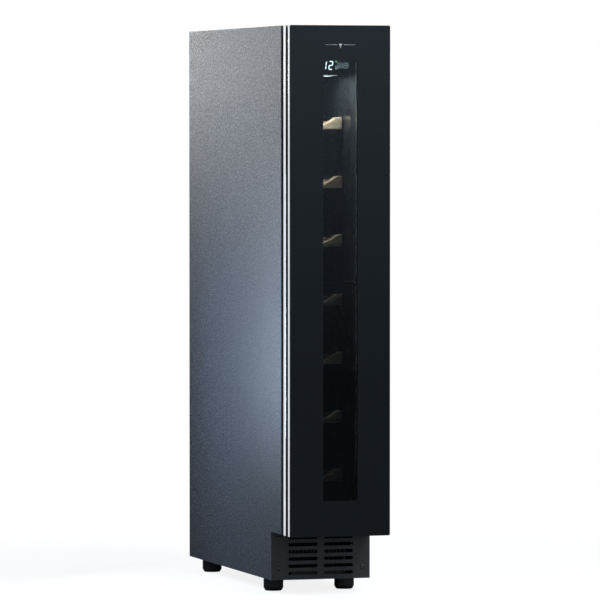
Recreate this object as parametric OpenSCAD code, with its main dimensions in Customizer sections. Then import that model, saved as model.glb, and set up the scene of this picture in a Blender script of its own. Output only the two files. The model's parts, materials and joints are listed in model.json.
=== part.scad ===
// Slim free-standing or built-in wine cooler with a glass door.
// X runs to the right of someone facing the door, Y runs from the door to the back, Z is up.
// The origin lies on the floor, under the middle of the cabinet.

/* [Overall] */
// Width over the side panels
width = 148; // [146:1:156]
// Depth from the face of the glass to the back of the side panels
depth = 525; // [515:1:560]
// Height from the floor to the top panel
height = 811; // [805:1:850]
// Height of the levelling feet at their lowest setting
foot_h = 19.5; // [16:0.5:24]

/* [Door] */
// Height of the door's lower edge above the floor
door_bottom = 88; // [86:1:92]
// Thickness of each glass pane
pane_t = 4; // [3:0.5:5]
// Half of the width of the clear window
window_half = 25.5; // [20:0.5:30]
// Border of the glass above and below the window
window_border = 50; // [40:1:70]
// Air space between the two panes
pane_gap = 6; // [5:0.5:8]
// How far the finger groove is set in from the edge of the door
groove_depth = 7; // [5:0.5:8]
// Furthest opening of the door, in degrees
door_swing = 100; // [90:5:100]

/* [Cabinet] */
// Thickness of the steel sheets
sheet = 0.8; // [0.6:0.1:1]
// Half of the inner width of the wine compartment
cavity_half = 46; // [45:0.5:47]
// Wall thickness of the moulded plastic liner
liner_t = 2; // [1.5:0.5:3]
// Height of the compartment floor
cavity_floor = 140; // [136:1:144]
// Height of the compartment ceiling
cavity_top = 775; // [770:1:780]
// Height of the toe recess
kick_top = 89; // [88:1:92]
// How far the grille lies behind the front of the cabinet
kick_depth = 50; // [40:1:60]

/* [Shelves] */
// Number of bottle shelves
shelf_count = 7; // [7:1:7]
// Height of the top shelf's upper edge
shelf_top = 681.4; // [678:0.1:684]
// Distance from one shelf to the next
shelf_pitch = 84.5; // [83:0.5:85]
// Half of the width of a shelf
shelf_half = 44; // [43:0.5:44]
// Height of a shelf's wooden front
front_h = 17.5; // [16:0.5:20]
// Radius of the cradle for the bottle
cradle_r = 52; // [45:1:60]
// Depth of the cradle at its middle
cradle_depth = 13.5; // [10:0.5:14]

/* [Hidden] */
$fn = 48;

// Small overlap that keeps a cut clean
cut = 1;
// Clearance between parts that slide past each other
slip = 0.3;
// Clearance on the diameter of a running pin
pin_play = 0.1;

// Planes from front to back
half = width / 2;
inner_half = half - sheet;
glass_y = -depth / 2;
mask_t = 0.4;
pane_back_y = glass_y + pane_t;
inner_pane_y = pane_back_y + mask_t + pane_gap;
groove_front_y = glass_y + 12.5;
groove_back_y = glass_y + 23.5;
door_back_y = glass_y + 34.5;
front_y = glass_y + 44.5;
kick_y = front_y + kick_depth;
back_y = depth / 2;
rear_y = back_y - 2;
liner_y = front_y + 58;
cover_y = 184;
liner_back_y = 216;

// Heights
pan_t = 1.2;
pan_top = foot_h + pan_t;
step_z = 178;
step_y = 150;
room_y = 170;
room_z = 160;
grille_t = 2.5;

// Refrigerant duct through the rear insulation
duct_half = 12;
duct_y = [226, 246];
duct_top = 470;

// Flanges, and how far the collar reaches down behind the sill lip
flange_w = 12;
lip_h = 12;
lip_lap = 4;
// Screws
screw_d = 3;
screw_hole_d = 3.5;
screw_head_d = 7;
screw_head_h = 1.6;
screw_reach = 6;
rear_screw_x = 68;
rear_screw_z = [178, 380, 580, 790];
cover_screw_z = [30, 148];
grille_screw_x = 63;
grille_screw_z = [foot_h + 16.4, foot_h + 60];
bracket_screw_x = 67.8;

// Hinge
hinge_x = 64;
hinge_y = glass_y + 22.5;
arm_t = 3;
arm_r = 7;
arm_gap = 2;
pin_d = 6;
pin_len = 14;
bush_d = 10;
pocket_depth = 5.6;
bracket_plate_h = 30;

// Feet
foot_x = 53.4;
foot_y = [-110.5, 210.5];
stud_d = 8;
stud_top = 46;
boss_d = 16;
boss_h = 7;

// Fans
fan_size = 60;
fan_bore = 56;
rotor_d = 53;
fan_depth = 20;
fan_hub_d = 24;
blade_count = 7;
circulation_fan_z = 705;
condenser_fan_z = 54;
condenser_fan_y = -90;

// Shelves
shelf_front_y = [-128.5, -110.5];
deck_back_y = 145;
deck_top = 6;
deck_bottom = 16;
deck_rail_w = 9;
slat_top = 10;
slat_count = 5;
slat_w = 16;
guide_y = [-109, 140];
guide_back_t = 0.8;
guide_ledge_w = 6;

// Compressor
compressor_y = 215;
compressor_r = 41;
compressor_z = [30, 140];
compressor_round = 20;
mount_x = 42;
mount_y = 28;
suction_z = 100;
discharge_z = 60;

// Power inlet
inlet_x = 46;
inlet_z = 45;

// Heat exchangers
condenser_half = 40;
condenser_y = [-152, -100];
condenser_z = [30, 86];
evaporator_half = 36;
evaporator_y = [190, 212];
evaporator_z = [300, 600];
coil_d = 7;
fin_t = 0.5;

// Height of the top edge of shelf number n, counted from the top
function shelf_z(n) = shelf_top - (n - 1) * shelf_pitch;

// A box from three ranges
module block(x, y, z) {
    translate([x[0], y[0], z[0]])
        cube([x[1] - x[0], y[1] - y[0], z[1] - z[0]]);
}

// A rectangular frame in the XZ plane, centred on X = 0
module frame_xz(outer, y, z, inner, inner_z) {
    difference() {
        block([-outer, outer], y, z);
        block([-inner, inner], [y[0] - cut, y[1] + cut], inner_z);
    }
}

// An outline drawn in Y and Z, carried along X
module outline_yz(x, points) {
    translate([x[0], 0, 0])
        rotate([90, 0, 90])
            linear_extrude(x[1] - x[0])
                polygon(points);
}

// A rounded rectangle with true arcs
module rounded_rect(w, h, r) {
    square([w - 2 * r, h], center = true);
    square([w, h - 2 * r], center = true);
    for (sx = [-1, 1], sy = [-1, 1])
        translate([sx * (w / 2 - r), sy * (h / 2 - r)])
            circle(r);
}

// Flat shapes drawn in X and Z, carried along Y
module carried_y(y) {
    translate([0, y[1], 0])
        rotate([90, 0, 0])
            linear_extrude(y[1] - y[0])
                children();
}

// A round bar or hole along Y
module rod_y(x, y, z, d) {
    translate([x, y[1], z])
        rotate([90, 0, 0])
            cylinder(d = d, h = y[1] - y[0]);
}

// A round bar or hole along X
module rod_x(x, y, z, d) {
    translate([x[0], y, z])
        rotate([0, 90, 0])
            cylinder(d = d, h = x[1] - x[0]);
}

// The same shape on both sides of the cabinet
module both_sides() {
    children();
    mirror([1, 0, 0])
        children();
}

// A bent pipe with round elbows through a list of points
module pipe(points, d) {
    for (i = [0 : len(points) - 2]) {
        step = points[i + 1] - points[i];
        run = norm(step);
        translate(points[i])
            rotate([0, acos(step[2] / run), atan2(step[1], step[0])])
                cylinder(d = d, h = run);
    }
    for (i = [1 : len(points) - 2])
        translate(points[i])
            sphere(d = d);
}

// Right-hand side panel with its front and rear flanges
module side_panel() {
    difference() {
        union() {
            outline_yz([inner_half, half], [
                [front_y, kick_top], [kick_y, kick_top], [kick_y, foot_h],
                [back_y, foot_h], [back_y, height], [front_y, height]
            ]);
            block([half - flange_w, inner_half], [front_y, front_y + sheet],
                [kick_top, height - sheet]);
            block([inner_half - 10, inner_half], [rear_y - 1.6, rear_y - sheet],
                [pan_top, height - sheet]);
        }
        rear_screw_holes();
        bracket_screw_holes();
    }
}

module rear_screw_holes() {
    for (z = concat(rear_screw_z, cover_screw_z))
        rod_y(rear_screw_x, [rear_y - screw_reach, rear_y + cut], z, screw_hole_d);
}

module bracket_screw_holes() {
    for (z = bracket_screw_z())
        rod_y(bracket_screw_x, [front_y - 3, front_y + screw_reach], z, screw_hole_d);
}

function bracket_screw_z() = [
    kick_top + 14, kick_top + 26, height - 26, height - 14
];

module left_side_panel() {
    color("slategray")
        mirror([1, 0, 0])
            side_panel();
}

module right_side_panel() {
    color("slategray")
        side_panel();
}

module top_panel() {
    color("slategray") {
        block([-inner_half, inner_half], [front_y, rear_y - sheet], [height - sheet, height]);
        block([-half + flange_w, half - flange_w], [front_y, front_y + sheet],
            [height - sheet - lip_h, height - sheet]);
    }
}

module rear_panel() {
    color("dimgray")
        difference() {
            block([-inner_half, inner_half], [rear_y - sheet, rear_y], [room_z + 1, height]);
            both_sides()
                rear_screw_holes();
        }
}

// Lower part of the back, with the outlet louvres and the opening for the power inlet
module compressor_cover() {
    color("dimgray")
        difference() {
            block([-inner_half, inner_half], [rear_y - sheet, rear_y], [pan_top, room_z + 0.6]);
            both_sides()
                rear_screw_holes();
            for (z = [72 : 9 : 144], x = [-30, 30])
                translate([x, 0, z])
                    carried_y([rear_y - 2, rear_y + cut])
                        rounded_rect(44, 4, 1.99);
            block([inlet_x - 12, inlet_x + 12], [rear_y - 2, rear_y + cut],
                [inlet_z - 9, inlet_z + 9]);
        }
}

module base_pan() {
    color("dimgray")
        difference() {
            union() {
                block([-inner_half, inner_half], [kick_y + grille_t, rear_y - 1.6],
                    [foot_h, pan_top]);
                both_sides() {
                    block([inner_half - pan_t, inner_half], [kick_y + grille_t, rear_y - 1.6],
                        [pan_top, pan_top + 14]);
                    block([inner_half - 17, inner_half - pan_t],
                        [kick_y + grille_t, kick_y + grille_t + pan_t],
                        [pan_top, kick_top - 2]);
                    for (y = foot_y)
                        translate([foot_x, y, pan_top])
                            cylinder(d = boss_d, h = boss_h);
                }
            }
            both_sides() {
                for (y = foot_y)
                    translate([foot_x, y, foot_h - cut])
                        cylinder(d = stud_d + pin_play, h = boss_h + pan_t + 2 * cut);
                grille_screw_holes();
            }
        }
}

module grille_screw_holes() {
    for (z = grille_screw_z)
        rod_y(grille_screw_x, [kick_y - cut, kick_y + 8], z, screw_hole_d);
}

// Steel sheet between the machine room and the insulation, with the cabinet's front sill
module machine_room_ceiling() {
    color("dimgray")
        difference() {
            union() {
                outline_yz([-inner_half, inner_half], [
                    [front_y + sheet, kick_top], [room_y, kick_top], [room_y, room_z],
                    [rear_y - 1.6, room_z], [rear_y - 1.6, room_z + 1], [room_y - 1, room_z + 1],
                    [room_y - 1, kick_top + 1], [front_y + sheet, kick_top + 1]
                ]);
                block([-half + flange_w, half - flange_w], [front_y, front_y + sheet],
                    [kick_top, kick_top + lip_h]);
            }
            block([-duct_half, duct_half], duct_y, [room_z - cut, room_z + 2]);
        }
}

// Dark plastic collar that lines the mouth of the compartment
module throat_collar() {
    outer = cavity_half + liner_t;
    color("black")
        difference() {
            union() {
                block([-outer, outer], [front_y + sheet, liner_y],
                    [cavity_floor - liner_t, cavity_top + liner_t]);
                block([-70, 70], [front_y + sheet, front_y + sheet + liner_t],
                    [kick_top + lip_h - lip_lap, height - 11]);
            }
            block([-cavity_half, cavity_half], [front_y - cut, liner_y + cut],
                [cavity_floor, cavity_top]);
            bracket_screw_holes();
        }
}

// Outline of the liner in Y and Z, grown by t
function liner_outline(front, t) = [
    [front, cavity_floor - t], [step_y + t, cavity_floor - t], [step_y + t, step_z - t],
    [liner_back_y + t, step_z - t], [liner_back_y + t, cavity_top + t], [front, cavity_top + t]
];

module inner_liner() {
    outer = cavity_half + liner_t;
    color("darkslategray")
        difference() {
            outline_yz([-outer, outer], liner_outline(liner_y, liner_t));
            outline_yz([-cavity_half, cavity_half], liner_outline(liner_y - cut, 0));
            block([-duct_half, duct_half], [liner_back_y - cut, duct_y[0]],
                [duct_top - 22, duct_top]);
        }
}

module foam_insulation() {
    outer = cavity_half + liner_t;
    foam_y = front_y + sheet + liner_t;
    back = rear_y - 1.6;
    color("lemonchiffon")
        difference() {
            outline_yz([-inner_half, inner_half], [
                [foam_y, kick_top + 1], [room_y - 1, kick_top + 1], [room_y - 1, room_z + 1],
                [back, room_z + 1], [back, height - sheet], [foam_y, height - sheet]
            ]);
            block([-outer, outer], [foam_y - cut, liner_y + cut],
                [cavity_floor - liner_t, cavity_top + liner_t]);
            outline_yz([-outer, outer], liner_outline(liner_y, liner_t));
            block([-duct_half, duct_half], duct_y, [room_z, duct_top]);
            block([-duct_half, duct_half], [liner_back_y, duct_y[1]],
                [duct_top - 22, duct_top]);
            bracket_screw_holes();
            both_sides()
                rear_screw_holes();
        }
}

// Intake grille with two columns of round-ended slots
module kick_grille() {
    slot_len = 43.7;
    slot_h = 5;
    color("dimgray")
        difference() {
            union() {
                block([-inner_half, inner_half], [kick_y, kick_y + grille_t],
                    [foot_h, kick_top - slip]);
                for (row = [0 : 5], side = [-1, 1])
                    translate([side * 26.5, 0, foot_h + 9.4 + row * 10.25])
                        carried_y([kick_y - 0.7, kick_y + grille_t])
                            rounded_rect(slot_len + 2, slot_h + 2, (slot_h + 2) / 2 - 0.01);
            }
            for (row = [0 : 5], side = [-1, 1])
                translate([side * 26.5, 0, foot_h + 9.4 + row * 10.25])
                    carried_y([kick_y - 2, kick_y + grille_t + cut])
                        rounded_rect(slot_len, slot_h, slot_h / 2 - 0.01);
            both_sides()
                grille_screw_holes();
        }
}

// A screw along Y; its head lies towards dir
module case_screw(x, seat, z, dir, len) {
    head = dir < 0 ? [seat - screw_head_h, seat] : [seat, seat + screw_head_h];
    shank = dir < 0 ? [seat - 0.1, seat + len] : [seat - len, seat + 0.1];
    difference() {
        union() {
            rod_y(x, head, z, screw_head_d);
            rod_y(x, shank, z, screw_d);
        }
        outside = dir < 0 ? [head[0] - cut, head[0] + 0.9] : [head[1] - 0.9, head[1] + cut];
        for (turn = [0, 90])
            translate([x, 0, z])
                rotate([0, turn, 0])
                    block([-2.1, 2.1], outside, [-0.45, 0.45]);
    }
}

module case_screws() {
    color("dimgray")
        both_sides() {
            for (z = concat(rear_screw_z, cover_screw_z))
                case_screw(rear_screw_x, rear_y, z, 1, 5);
            for (z = grille_screw_z)
                case_screw(grille_screw_x, kick_y, z, -1, 7);
        }
    color("dimgray")
        for (z = bracket_screw_z())
            case_screw(bracket_screw_x, front_y - 1.5, z, -1, 5);
}

// Housing of the controls, open at the top against the ceiling
module control_housing() {
    wall = 2;
    housing_y = [liner_y, liner_y + 60];
    housing_z = [cavity_top - 33, cavity_top];
    color("black")
        difference() {
            union() {
                block([-cavity_half, cavity_half], housing_y, housing_z);
                block([-cavity_half, cavity_half], [liner_y - 1.2, liner_y],
                    [housing_z[0], housing_z[0] + 2.5]);
            }
            block([-cavity_half + wall, cavity_half - wall],
                [housing_y[0] + wall, housing_y[1] - wall], [housing_z[0] + wall, housing_z[1] + cut]);
            block([-30, 30], [liner_y + 12, liner_y + 40],
                [housing_z[0] - cut, housing_z[0] + wall + cut]);
        }
}

module display_lens() {
    color("midnightblue")
        block([-43, 43], [liner_y - 1, liner_y], [cavity_top - 30, cavity_top - 2]);
}

module control_board() {
    board_z = cavity_top - 16;
    color("darkgreen") {
        block([-40, 40], [liner_y + 5, liner_y + 55], [board_z, board_z + 1.6]);
        for (x = [-41.5, 40])
            block([x, x + 1.5], [liner_y + 12, liner_y + 48], [cavity_top - 31, board_z + 1.6]);
        block([-34, -16], [liner_y + 30, liner_y + 50], [board_z + 1.6, board_z + 13]);
        block([-6, 8], [liner_y + 34, liner_y + 46], [board_z + 1.6, board_z + 9]);
        block([18, 36], [liner_y + 40, liner_y + 52], [board_z + 1.6, board_z + 11]);
        for (x = [14, 22, 30])
            translate([x, liner_y + 24, board_z + 1.6])
                cylinder(d = 7, h = 9);
    }
}

module lamp_diffuser() {
    lamp_z = cavity_top - 33;
    color("white")
        difference() {
            block([-30, 30], [liner_y + 12, liner_y + 40], [lamp_z - 1, lamp_z + 3]);
            block([-28.5, 28.5], [liner_y + 13.5, liner_y + 38.5], [lamp_z + 0.5, lamp_z + 4]);
        }
}

// Rear wall of the compartment, with the air outlet in front of the fan and the return slots
module evaporator_cover() {
    color("darkslategray")
        difference() {
            union() {
                block([-cavity_half, cavity_half], [cover_y, cover_y + 2],
                    [step_z, cavity_top]);
                rod_y(0, [cover_y - 2, cover_y], circulation_fan_z, 66);
            }
            intersection() {
                rod_y(0, [cover_y - 3, cover_y + 3], circulation_fan_z, 52);
                for (k = [-3 : 3])
                    block([-30, 30], [cover_y - 3, cover_y + 3],
                        [circulation_fan_z + k * 7 - 2.2, circulation_fan_z + k * 7 + 2.2]);
            }
            for (k = [0 : 5])
                translate([0, 0, step_z + 14 + k * 9])
                    carried_y([cover_y - cut, cover_y + 3])
                        rounded_rect(64, 4, 1.99);
        }
}

// A finned coil: tubes along X through upright fins, with a return bend at alternate ends
module finned_coil(half_w, y, z, tube_zs, tube_y, fin_count) {
    end = half_w + 2;
    for (i = [0 : fin_count - 1]) {
        x = -half_w + i * (2 * half_w - fin_t) / (fin_count - 1);
        block([x, x + fin_t], y, z);
    }
    for (i = [0 : len(tube_zs) - 1])
        rod_x([-end, end], tube_y, tube_zs[i], coil_d);
    for (i = [0 : len(tube_zs) - 2]) {
        side = i % 2 == 0 ? 1 : -1;
        pipe([[side * (end - 1), tube_y, tube_zs[i]], [side * (end + 3), tube_y, tube_zs[i]],
            [side * (end + 3), tube_y, tube_zs[i + 1]],
            [side * (end - 1), tube_y, tube_zs[i + 1]]], coil_d);
    }
}

module evaporator_coil() {
    stub_z = duct_top - 10;
    color("silver") {
        finned_coil(evaporator_half, evaporator_y, evaporator_z,
            [for (k = [0 : 13]) evaporator_z[0] + 20 + k * 20], 201, 13);
        rod_y(6, [203, liner_back_y - 2], stub_z, 8);
        rod_y(-8, [203, liner_back_y - 2], stub_z, 4);
    }
}

module condenser_coil() {
    color("black") {
        finned_coil(condenser_half, condenser_y, condenser_z,
            [for (k = [0 : 2]) condenser_z[0] + 10 + k * 18], -112, 15);
        finned_coil(condenser_half, condenser_y, condenser_z,
            [for (k = [0 : 2]) condenser_z[0] + 10 + k * 18], -140, 15);
        rod_x([condenser_half, 47], -112, condenser_z[0] + 46, coil_d);
        rod_x([-47, -condenser_half], -140, condenser_z[0] + 10, coil_d);
        block([-condenser_half, condenser_half], [-101, -100], [pan_top, condenser_z[0] + 4]);
        block([-condenser_half, condenser_half], [-152, -151], [pan_top, condenser_z[0] + 4]);
    }
}

// Square fan frame in front of the plane Y = y, with a motor held on three struts
module fan_frame(y, z) {
    difference() {
        block([-fan_size / 2, fan_size / 2], [y, y + fan_depth],
            [z - fan_size / 2, z + fan_size / 2]);
        rod_y(0, [y - cut, y + fan_depth + cut], z, fan_bore);
        for (sx = [-1, 1], sz = [-1, 1])
            rod_y(sx * 25, [y - cut, y + fan_depth + cut], z + sz * 25, 4.3);
    }
    rod_y(0, [y + fan_depth - 3, y + fan_depth], z, fan_hub_d);
    for (turn = [30, 150, 270])
        translate([0, 0, z])
            rotate([0, turn, 0])
                block([10, fan_bore / 2 + 0.5], [y + fan_depth - 3, y + fan_depth], [-1.5, 1.5]);
    difference() {
        rod_y(0, [y + 6, y + fan_depth - 2], z, 6);
        rod_y(0, [y + 5, y + fan_depth - 5], z, 3 + pin_play);
    }
}

// Rotor on its shaft, with pitched blades
module fan_rotor(y, z) {
    difference() {
        rod_y(0, [y + 1.5, y + fan_depth - 4], z, fan_hub_d);
        rod_y(0, [y + 4, y + fan_depth], z, fan_hub_d - 3);
    }
    rod_y(0, [y + 3.9, y + fan_depth - 6], z, 3);
    intersection() {
        difference() {
            rod_y(0, [y + 2.5, y + fan_depth - 5], z, rotor_d);
            rod_y(0, [y, y + fan_depth], z, fan_hub_d - 1);
        }
        for (i = [0 : blade_count - 1])
            translate([0, y + fan_depth / 2 - 1.2, z])
                rotate([0, i * 360 / blade_count, 0])
                    rotate([40, 0, 0])
                        block([fan_hub_d / 2 - 2, fan_size / 2], [-0.6, 0.6], [-10, 10]);
    }
}

module circulation_fan_frame() {
    color("black")
        fan_frame(cover_y + 2, circulation_fan_z);
}

module circulation_fan_rotor() {
    color("dimgray")
        fan_rotor(cover_y + 2, circulation_fan_z);
}

module condenser_fan_frame() {
    color("black") {
        fan_frame(condenser_fan_y, condenser_fan_z);
        for (x = [-24, 16])
            block([x, x + 8], [condenser_fan_y + 4, condenser_fan_y + 16],
                [pan_top, condenser_fan_z - fan_size / 2]);
    }
}

module condenser_fan_rotor() {
    color("dimgray")
        fan_rotor(condenser_fan_y, condenser_fan_z);
}

// Sealed compressor pot on its mounting plate
module compressor() {
    pot_r = compressor_r;
    pot_h = compressor_z[1] - compressor_z[0] - 2;
    color("black") {
        translate([0, compressor_y, compressor_z[0] + 2])
            rotate_extrude() {
                square([pot_r - compressor_round, pot_h]);
                translate([0, compressor_round])
                    square([pot_r, pot_h - 2 * compressor_round]);
                for (z = [compressor_round, pot_h - compressor_round])
                    translate([pot_r - compressor_round, z])
                        circle(compressor_round);
            }
        translate([0, compressor_y, 88])
            cylinder(r = pot_r + 1.2, h = 4);
        difference() {
            block([-48, 48], [compressor_y - 35, compressor_y + 35],
                [compressor_z[0], compressor_z[0] + 3]);
            for (sx = [-1, 1], sy = [-1, 1])
                translate([sx * mount_x, compressor_y + sy * mount_y, compressor_z[0] - cut])
                    cylinder(d = 10, h = 5);
        }
        for (z = [suction_z, discharge_z])
            rod_x([pot_r - 4, 50], compressor_y, z, 9);
    }
}

module compressor_grommets() {
    color("dimgray")
        for (sx = [-1, 1], sy = [-1, 1])
            translate([sx * mount_x, compressor_y + sy * mount_y, 0]) {
                translate([0, 0, pan_top])
                    cylinder(d = 15, h = compressor_z[0] - pan_top);
                translate([0, 0, compressor_z[0]])
                    cylinder(d = 9.6, h = 3.2);
                translate([0, 0, compressor_z[0] + 3.1])
                    cylinder(d = 13, h = 2);
            }
}

// Copper pipes of the cooling circuit and the filter drier in the liquid line
module refrigerant_lines() {
    line_z = duct_top - 10;
    color("peru") {
        pipe([[50, compressor_y, discharge_z], [64, compressor_y, discharge_z],
            [64, -112, discharge_z], [64, -112, condenser_z[0] + 46],
            [47, -112, condenser_z[0] + 46]], 5);
        pipe([[50, compressor_y, suction_z], [57, compressor_y, suction_z],
            [57, 236, suction_z], [57, 236, 150], [6, 236, 150], [6, 236, line_z],
            [6, liner_back_y - 2, line_z]], 7);
        pipe([[-47, -140, condenser_z[0] + 10], [-62, -140, condenser_z[0] + 10],
            [-62, 62, condenser_z[0] + 10]], 5);
        rod_y(-62, [60, 118], condenser_z[0] + 10, 16);
        pipe([[-62, 116, condenser_z[0] + 10], [-62, 251, condenser_z[0] + 10],
            [-62, 251, 152], [-8, 251, 152], [-8, 241, 152], [-8, 241, line_z],
            [-8, liner_back_y - 2, line_z]], 3);
    }
}

module starter_box() {
    color("black")
        difference() {
            block([-60, -30], [compressor_y - 16, compressor_y + 16], [62, 102]);
            translate([0, compressor_y, 50])
                cylinder(r = compressor_r + 1.5, h = 60);
        }
}

// Three-pin appliance inlet
module power_inlet() {
    color("black")
        difference() {
            union() {
                block([inlet_x - 12, inlet_x + 12], [rear_y - 22, rear_y], [inlet_z - 9, inlet_z + 9]);
                block([inlet_x - 14, inlet_x + 14], [rear_y, back_y - 0.2],
                    [inlet_z - 11, inlet_z + 11]);
            }
            block([inlet_x - 10, inlet_x + 10], [rear_y - 17, back_y], [inlet_z - 7, inlet_z + 7]);
        }
    color("silver")
        for (pin = [[-7, -1.5], [0, 2.5], [7, -1.5]])
            block([inlet_x + pin[0] - 1, inlet_x + pin[0] + 1], [rear_y - 17, rear_y - 3],
                [inlet_z + pin[1] - 2, inlet_z + pin[1] + 2]);
}

// Pan above the compressor in which the melt water dries
module drip_tray() {
    color("black")
        difference() {
            block([-44, 44], [176, 229], [compressor_z[1], compressor_z[1] + 15]);
            block([-42, 42], [178, 227], [compressor_z[1] + 2, compressor_z[1] + 16]);
        }
}

// Hinge bracket at the top right corner: arm, pin and screw plate
module upper_hinge_bracket() {
    arm_z = [height - arm_gap - arm_t, height - arm_gap];
    color("gray") {
        hinge_arm(arm_z);
        translate([hinge_x, hinge_y, arm_z[0] - pin_len])
            cylinder(d = pin_d, h = pin_len + 0.1);
        bracket_plate([arm_z[0] - bracket_plate_h, arm_z[1]]);
    }
}

module lower_hinge_bracket() {
    arm_z = [door_bottom + arm_gap, door_bottom + arm_gap + arm_t];
    color("gray") {
        hinge_arm(arm_z);
        translate([hinge_x, hinge_y, arm_z[1] - 0.1])
            cylinder(d = pin_d, h = pin_len + 0.1);
        bracket_plate([arm_z[0], arm_z[1] + bracket_plate_h]);
    }
}

module hinge_arm(z) {
    block([hinge_x - arm_r, hinge_x + arm_r], [hinge_y, front_y], z);
    translate([hinge_x, hinge_y, z[0]])
        cylinder(r = arm_r, h = z[1] - z[0]);
}

module bracket_plate(z) {
    difference() {
        block([half - flange_w + 0.8, inner_half], [front_y - 1.5, front_y], z);
        bracket_screw_holes();
    }
}

// Narrow ledge across the mouth of the compartment for an upright bottle
module display_ledge() {
    ledge_z = 430;
    ledge_y = [-200, -136];
    color("black") {
        block([-cavity_half, cavity_half], ledge_y, [ledge_z, ledge_z + 3]);
        block([-cavity_half, cavity_half], [ledge_y[0], ledge_y[0] + 3], [ledge_z, ledge_z + 17]);
        both_sides()
            block([cavity_half - 2, cavity_half], ledge_y, [ledge_z, ledge_z + 17]);
    }
}

// Moulded runners on both walls of the liner
module shelf_guides() {
    inner = cavity_half - guide_back_t;
    tip = cavity_half - guide_ledge_w;
    color("darkslategray")
        both_sides() {
            for (n = [1 : shelf_count]) {
                z = shelf_z(n);
                block([inner, cavity_half], guide_y, [z - deck_bottom - 3, z - deck_top + 3]);
                block([tip, inner], guide_y, [z - deck_bottom - 3, z - deck_bottom - slip]);
                block([tip, inner], guide_y, [z - deck_top + slip, z - deck_top + 3]);
            }
            for (y = [guide_y[0], guide_y[1] - 16])
                block([inner, cavity_half], [y, y + 16],
                    [shelf_z(shelf_count) - deck_bottom, shelf_z(1) - deck_top]);
        }
}

// Pocket in the end of the door that the hinge arm swings in
module hinge_pocket(z) {
    clear_r = arm_r + 0.5;
    block([hinge_x, half + cut], [hinge_y - clear_r - 1.8, door_back_y + cut], z);
    block([hinge_x - clear_r, hinge_x + cut], [hinge_y, door_back_y + cut], z);
    translate([hinge_x, hinge_y, z[0]])
        cylinder(r = clear_r, h = z[1] - z[0]);
}

module hinge_pockets() {
    hinge_pocket([door_bottom - cut, door_bottom + pocket_depth]);
    hinge_pocket([height - pocket_depth, height + cut]);
}

module outer_glass() {
    color("black", 0.6)
        translate([0, 0, (door_bottom + height) / 2])
            carried_y([glass_y, pane_back_y])
                rounded_rect(width, height - door_bottom, 2);
}

function window_z() = [door_bottom + window_border, height - window_border];

module glass_spacer() {
    spacer_w = 8;
    z = window_z();
    color("silver")
        frame_xz(window_half + spacer_w, [pane_back_y + mask_t, inner_pane_y],
            [z[0] - spacer_w, z[1] + spacer_w], window_half, [z[0], z[1]]);
}

module inner_glass() {
    z = window_z();
    color("lightcyan", 0.4)
        block([-window_half - 10.5, window_half + 10.5], [inner_pane_y, inner_pane_y + pane_t],
            [z[0] - 10.5, z[1] + 10.5]);
}

// Bright metal profile behind the edge of the glass
module front_trim() {
    edge = half - 0.4;
    color("gainsboro")
        difference() {
            frame_xz(edge, [pane_back_y, groove_front_y], [door_bottom + 0.4, height - 0.4],
                half - flange_w, [door_bottom + flange_w, height - flange_w]);
            hinge_pockets();
        }
}

// Dark body of the door; its sides are set in to leave the finger groove
module door_core() {
    z = window_z();
    seat = 10.5;
    color("black")
        difference() {
            union() {
                block([-half + flange_w, half - flange_w], [pane_back_y + mask_t, groove_front_y],
                    [door_bottom + flange_w, height - flange_w]);
                block([-half + groove_depth, half - groove_depth], [groove_front_y, groove_back_y],
                    [door_bottom + 0.8, height - 0.8]);
            }
            block([-window_half - seat, window_half + seat],
                [pane_back_y - cut, inner_pane_y + pane_t], [z[0] - seat, z[1] + seat]);
            block([-38, 38], [inner_pane_y, groove_back_y + cut], [z[0] - 9, z[1] + 9]);
            hinge_pockets();
            for (end_z = [door_bottom + pocket_depth - cut, height - pocket_depth - 16])
                translate([hinge_x, hinge_y, end_z])
                    cylinder(d = bush_d, h = 16 + cut);
        }
}

module rear_trim() {
    edge = half - 0.4;
    color("gainsboro")
        difference() {
            frame_xz(edge, [groove_back_y, door_back_y], [door_bottom + 0.4, height - 0.4],
                half - flange_w, [door_bottom + flange_w, height - flange_w]);
            hinge_pockets();
            for (end_z = [door_bottom + pocket_depth - cut, height - pocket_depth - 16])
                translate([hinge_x, hinge_y, end_z])
                    cylinder(d = bush_d, h = 16 + cut);
        }
}

// Plastic inner frame of the door, with the groove that holds the gasket
module door_inner_frame() {
    z = window_z();
    color("black")
        difference() {
            frame_xz(half - flange_w, [groove_back_y, door_back_y],
                [door_bottom + flange_w, height - flange_w], 40, [z[0] - 12, z[1] + 12]);
            gasket_ring([door_back_y - 4, door_back_y + cut], 7.5, 3);
            hinge_pockets();
            for (end_z = [door_bottom + pocket_depth - cut, height - pocket_depth - 16])
                translate([hinge_x, hinge_y, end_z])
                    cylinder(d = bush_d, h = 16 + cut);
        }
}

// A ring that runs round the door: inset is its distance from the gasket's outer edge
module gasket_ring(y, inset, w) {
    edge = half - flange_w - 0.4;
    low = door_bottom + flange_w + 0.4;
    high = height - flange_w - 0.4;
    frame_xz(edge - inset, y, [low + inset, high - inset],
        edge - inset - w, [low + inset + w, high - inset - w]);
}

// Magnetic door seal: foot in the groove, bellows and magnet sleeve
module door_gasket() {
    color("dimgray") {
        gasket_ring([door_back_y - 3.6, door_back_y], 7.7, 2.6);
        gasket_ring([door_back_y, door_back_y + 2], 1, 16);
        gasket_ring([door_back_y + 2, door_back_y + 5], 3, 2);
        gasket_ring([door_back_y + 2, door_back_y + 5], 12, 2);
        gasket_ring([door_back_y + 5, front_y - slip], 0.5, 14);
    }
}

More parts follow.
